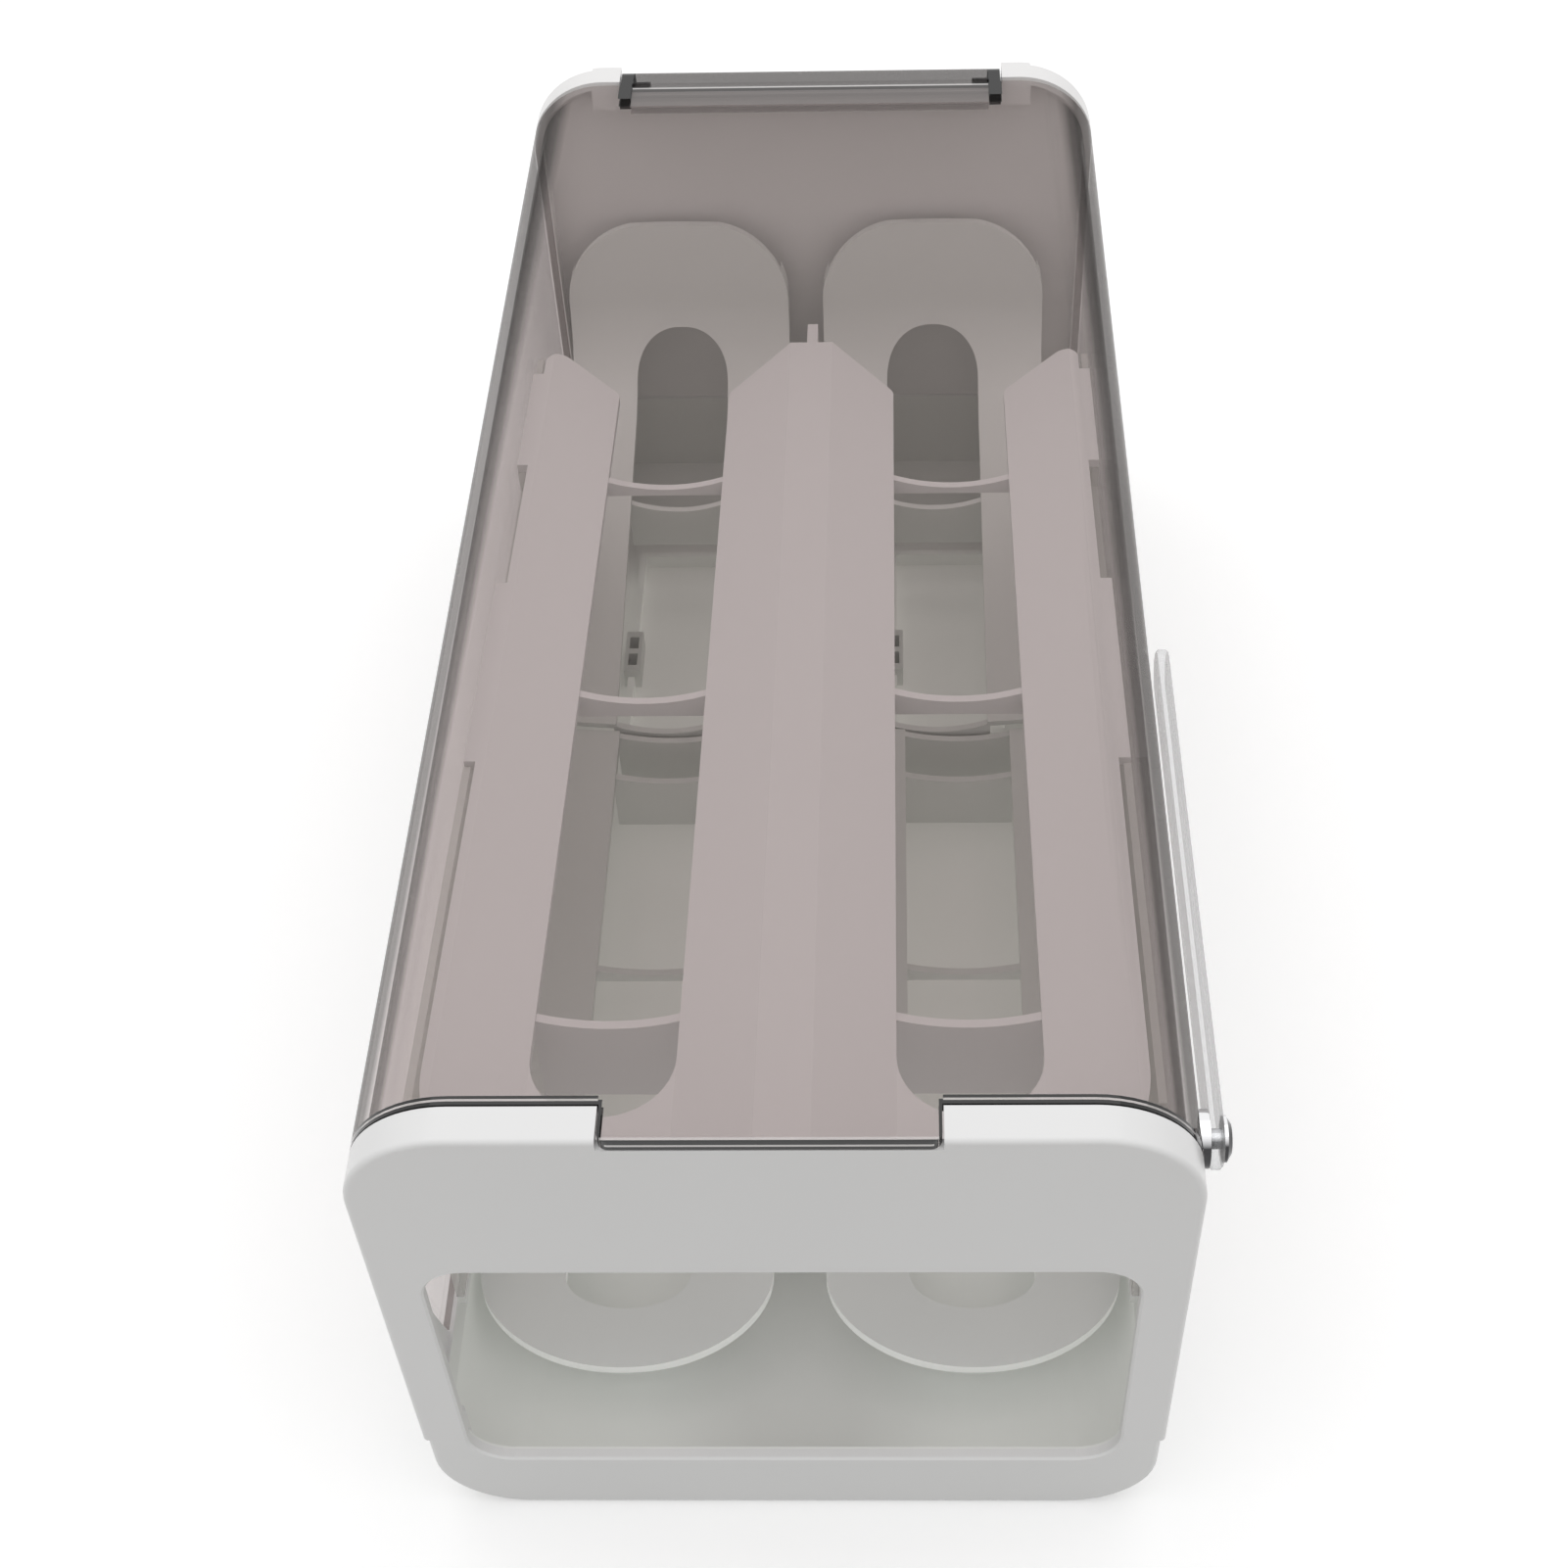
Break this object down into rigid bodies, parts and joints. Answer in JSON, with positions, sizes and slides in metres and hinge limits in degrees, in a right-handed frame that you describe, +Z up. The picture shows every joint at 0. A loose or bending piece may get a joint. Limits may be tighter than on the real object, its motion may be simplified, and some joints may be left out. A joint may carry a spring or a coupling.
{
  "type": "rolling egg dispenser",
  "caption": "Two-tier box with a hinged smoked cover; eggs roll back along upper lanes, drop into scoops and roll forward to a front window.",
  "frame": {"origin": "centre of the underside of the base, on the surface it stands on", "axes": "+Z up, -Y towards the window that the eggs are taken from, +X to the right seen from the front"},
  "size_m": [0.1708, 0.372, 0.15],
  "materials": {
    "white_shell": "satin white",
    "smoked_clear": "clear smoked grey-brown",
    "warm_white": "satin warm white",
    "pale_grey": "satin pale grey",
    "clear_arm": "clear",
    "chrome": "polished",
    "steel": "plain"
  },
  "bodies": {
    "housing": {"base_tray": "white_shell", "front_panel": "white_shell", "rear_panel": "white_shell", "hinge_pin_left": "steel", "hinge_pin_right": "steel", "upper_tray": "warm_white", "side_guide_left": "warm_white", "side_guide_right": "warm_white", "centre_guide": "warm_white", "rear_chute_left": "pale_grey", "rear_chute_right": "pale_grey", "front_chute_left": "pale_grey", "front_chute_right": "pale_grey", "pen_clip_left": "pale_grey", "pen_clip_right": "pale_grey"},
    "lid": {"cover": "smoked_clear", "pivot_boss": "chrome", "pivot_screw": "chrome", "pivot_nut": "chrome"},
    "arm": {"swing_arm": "clear_arm"}
  },
  "joints": [
    {"name": "lid_hinge", "type": "hinge", "parent": "housing", "child": "lid", "pos_m": [0, 0.1815, 0.146], "axis": [-1, 0, 0], "range_deg": [0, 100]},
    {"name": "arm_swing", "type": "hinge", "parent": "lid", "child": "arm", "pos_m": [0.0853, -0.171, 0.128], "axis": [1, 0, 0], "range_deg": [-60, 180]}
  ]
}
